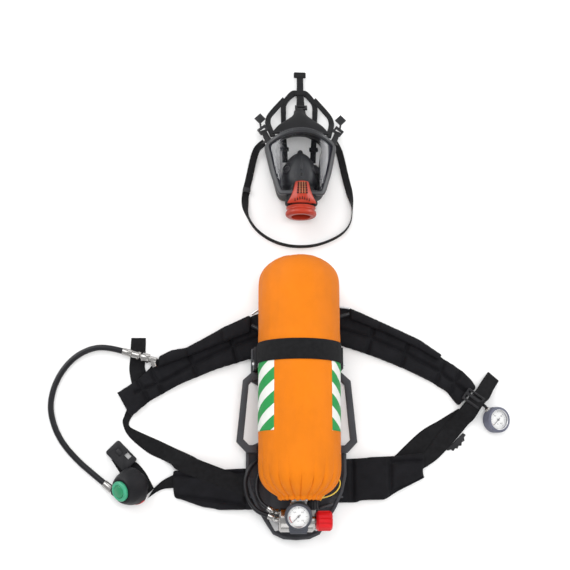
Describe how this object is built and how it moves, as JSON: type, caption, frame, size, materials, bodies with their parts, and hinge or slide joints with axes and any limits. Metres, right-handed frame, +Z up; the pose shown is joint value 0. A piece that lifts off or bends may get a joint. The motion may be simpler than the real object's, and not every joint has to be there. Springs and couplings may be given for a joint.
{
  "type": "self-contained breathing apparatus",
  "caption": "Firefighter's breathing apparatus laid flat: covered air cylinder on a carrier with padded harness, gauges, demand valve on its hose and full-face mask.",
  "frame": {"origin": "on the floor under the middle of the object, measured without its free cords", "axes": "+Z up from the floor, +Y along the air cylinder from its valve towards the mask, +X to the wearer's chest gauge side"},
  "size_m": [0.9406, 0.993, 0.1949],
  "materials": {
    "carrier_plastic": "moulded, fine grain",
    "steel": "brushed",
    "cylinder_shell": "painted liner under the cover",
    "cover_cloth": "woven, slight sheen",
    "webbing": "woven",
    "pad_fabric": "woven, quilted",
    "gauge_rubber": "matte",
    "dial_face": "printed",
    "needle": "matte",
    "lens": "clear",
    "nickel": "nickel plated",
    "red_plastic": "satin",
    "black_plastic": "moulded",
    "valve_black": "fine grain",
    "green_plastic": "satin",
    "hose_rubber": "satin",
    "mask_rubber": "matte",
    "nose_cup_rubber": "matte",
    "visor": "clear polycarbonate",
    "mask_red": "satin",
    "yellow_cord": "braided"
  },
  "bodies": {
    "pack": {"backplate": "carrier_plastic", "band_brackets": "carrier_plastic", "band_pins": "steel", "belt_webbing_left": "webbing", "belt_webbing_right": "webbing", "buckle_tongue": "black_plastic", "chest_strap_left": "webbing", "coupling_plug": "nickel", "coupling_socket": "nickel", "cylinder": "cylinder_shell", "cylinder_band": "webbing", "cylinder_cover": "cover_cloth", "cylinder_gauge_case": "gauge_rubber", "cylinder_gauge_dial": "dial_face", "cylinder_gauge_lens": "lens", "cylinder_valve": "nickel", "demand_valve_hose": "hose_rubber", "drawstring": "yellow_cord", "gauge_hose": "hose_rubber", "hose_end_ferrules": "nickel", "hose_fittings": "nickel", "hose_sleeves": "pad_fabric", "pressure_reducer": "nickel", "pull_strap_left": "webbing", "pull_strap_right": "webbing", "reducer_bracket": "steel", "shoulder_bar": "steel", "shoulder_pad_left": "pad_fabric", "shoulder_pad_right": "pad_fabric", "side_handle_left": "carrier_plastic", "side_handle_right": "carrier_plastic", "strap_adjuster": "black_plastic", "supply_hose": "hose_rubber", "waist_buckle": "black_plastic", "waist_pad_left": "pad_fabric", "waist_pad_right": "pad_fabric"},
    "valve_wheel": {"valve_handwheel": "red_plastic", "valve_spindle": "steel"},
    "connector_wheel": {"reducer_connector": "black_plastic"},
    "cylinder_pointer": {"cylinder_gauge_needle": "needle"},
    "chest_gauge": {"chest_gauge_case": "gauge_rubber", "chest_gauge_dial": "dial_face", "chest_gauge_lens": "lens"},
    "chest_pointer": {"chest_gauge_needle": "needle"},
    "demand_valve": {"demand_valve_body": "valve_black", "demand_valve_ring": "green_plastic"},
    "bypass_button": {"demand_valve_button": "green_plastic"},
    "coupling_collar": {"coupling_sleeve": "nickel"},
    "buckle_button": {"buckle_release": "black_plastic"},
    "mask": {"mask_buckles": "black_plastic", "mask_face_piece": "mask_rubber", "mask_forehead_tab": "mask_rubber", "mask_head_harness": "mask_rubber", "mask_nose_cup": "nose_cup_rubber", "mask_port_body": "black_plastic", "mask_port_cover": "mask_red", "mask_port_ring": "mask_red", "mask_visor": "visor", "mask_visor_frame": "mask_rubber", "neck_strap": "webbing"}
  },
  "joints": [
    {"name": "valve_wheel_turn", "type": "hinge", "parent": "pack", "child": "valve_wheel", "pos_m": [0.01025, -0.4585, 0.1], "axis": [1, 0, 0], "range_deg": [0, 720]},
    {"name": "connector_turn", "type": "hinge", "parent": "pack", "child": "connector_wheel", "pos_m": [-0.00326, -0.4285, 0.095], "axis": [0, 1, 0], "continuous": true},
    {"name": "cylinder_pointer_turn", "type": "hinge", "parent": "pack", "child": "cylinder_pointer", "pos_m": [-0.03376, -0.4515, 0.135], "axis": [-0.0599, -0.1996, 0.978], "range_deg": [-270, 0]},
    {"name": "chest_gauge_swivel", "type": "hinge", "parent": "pack", "child": "chest_gauge", "pos_m": [0.38046, -0.25665, 0.01603], "axis": [-0.6012, 0.7564, 0.2577], "range_deg": [-20, 20]},
    {"name": "chest_pointer_turn", "type": "hinge", "parent": "chest_gauge", "child": "chest_pointer", "pos_m": [0.38625, -0.2575, 0.032], "axis": [0.3397, -0.05, 0.9392], "range_deg": [-270, 0]},
    {"name": "demand_valve_swivel", "type": "hinge", "parent": "pack", "child": "demand_valve", "pos_m": [-0.38893, -0.40358, 0.02369], "axis": [0.7714, -0.6037, 0.2012], "range_deg": [0, 120]},
    {"name": "bypass_button_press", "type": "slide", "parent": "demand_valve", "child": "bypass_button", "axis": [0.6517, 0.3108, -0.6918], "range_m": [0, 0.004], "stiffness_N_per_m": 600, "springref_m": -0.003},
    {"name": "coupling_collar_slide", "type": "slide", "parent": "pack", "child": "coupling_collar", "axis": [-0.9581, 0.2777, -0.0694], "range_m": [0, 0.004], "stiffness_N_per_m": 900, "springref_m": -0.003},
    {"name": "buckle_release_press", "type": "slide", "parent": "pack", "child": "buckle_button", "axis": [0, 0, -1], "range_m": [0, 0.002], "stiffness_N_per_m": 600, "springref_m": -0.003},
    {"name": "mask_lift", "type": "slide", "parent": "pack", "child": "mask", "axis": [0, 0, 1], "range_m": [0, 0.25]}
  ]
}
